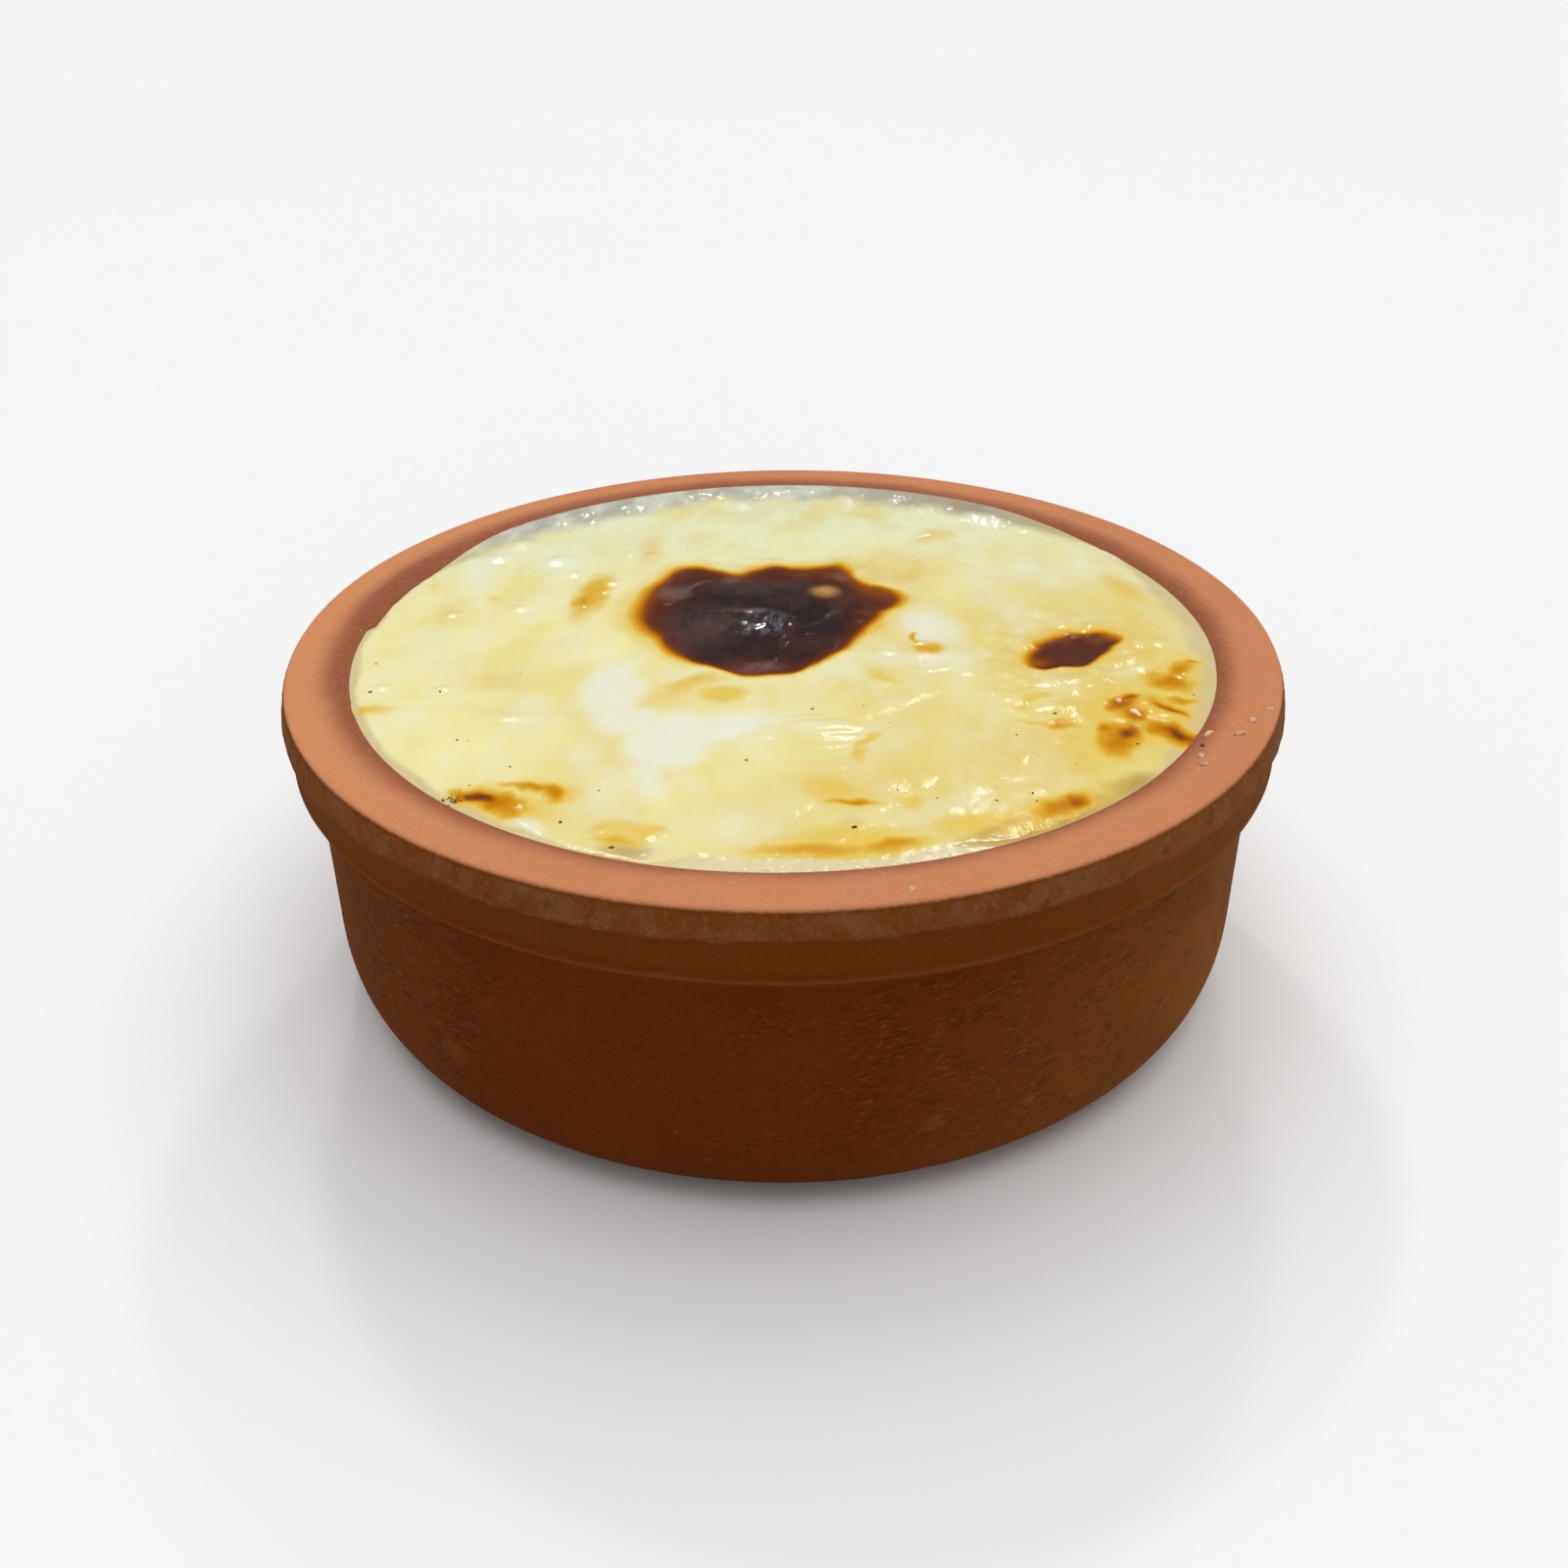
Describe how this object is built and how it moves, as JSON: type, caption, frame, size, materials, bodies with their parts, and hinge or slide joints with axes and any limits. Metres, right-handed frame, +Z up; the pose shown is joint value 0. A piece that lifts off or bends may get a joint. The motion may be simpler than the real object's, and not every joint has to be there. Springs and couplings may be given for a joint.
{
  "type": "baked rice pudding in a round clay bowl",
  "caption": "Baked rice pudding with a browned milk skin, filling its low round unglazed clay bowl to just under the rim.",
  "frame": {"origin": "centre of the flat foot the bowl stands on, at floor level", "axes": "+Z up along the bowl's turning axis; +Y away from the viewer, +X to the viewer's right"},
  "size_m": [0.1212, 0.1212, 0.0417],
  "materials": {
    "fired_clay": "unglazed fired clay, matte, orange-brown, rough band and fine drag marks outside",
    "baked_pudding": "glossy cream-yellow baked milk skin with dark browned patches"
  },
  "bodies": {
    "root": {"bowl": "fired_clay", "pudding": "baked_pudding"}
  },
  "joints": []
}
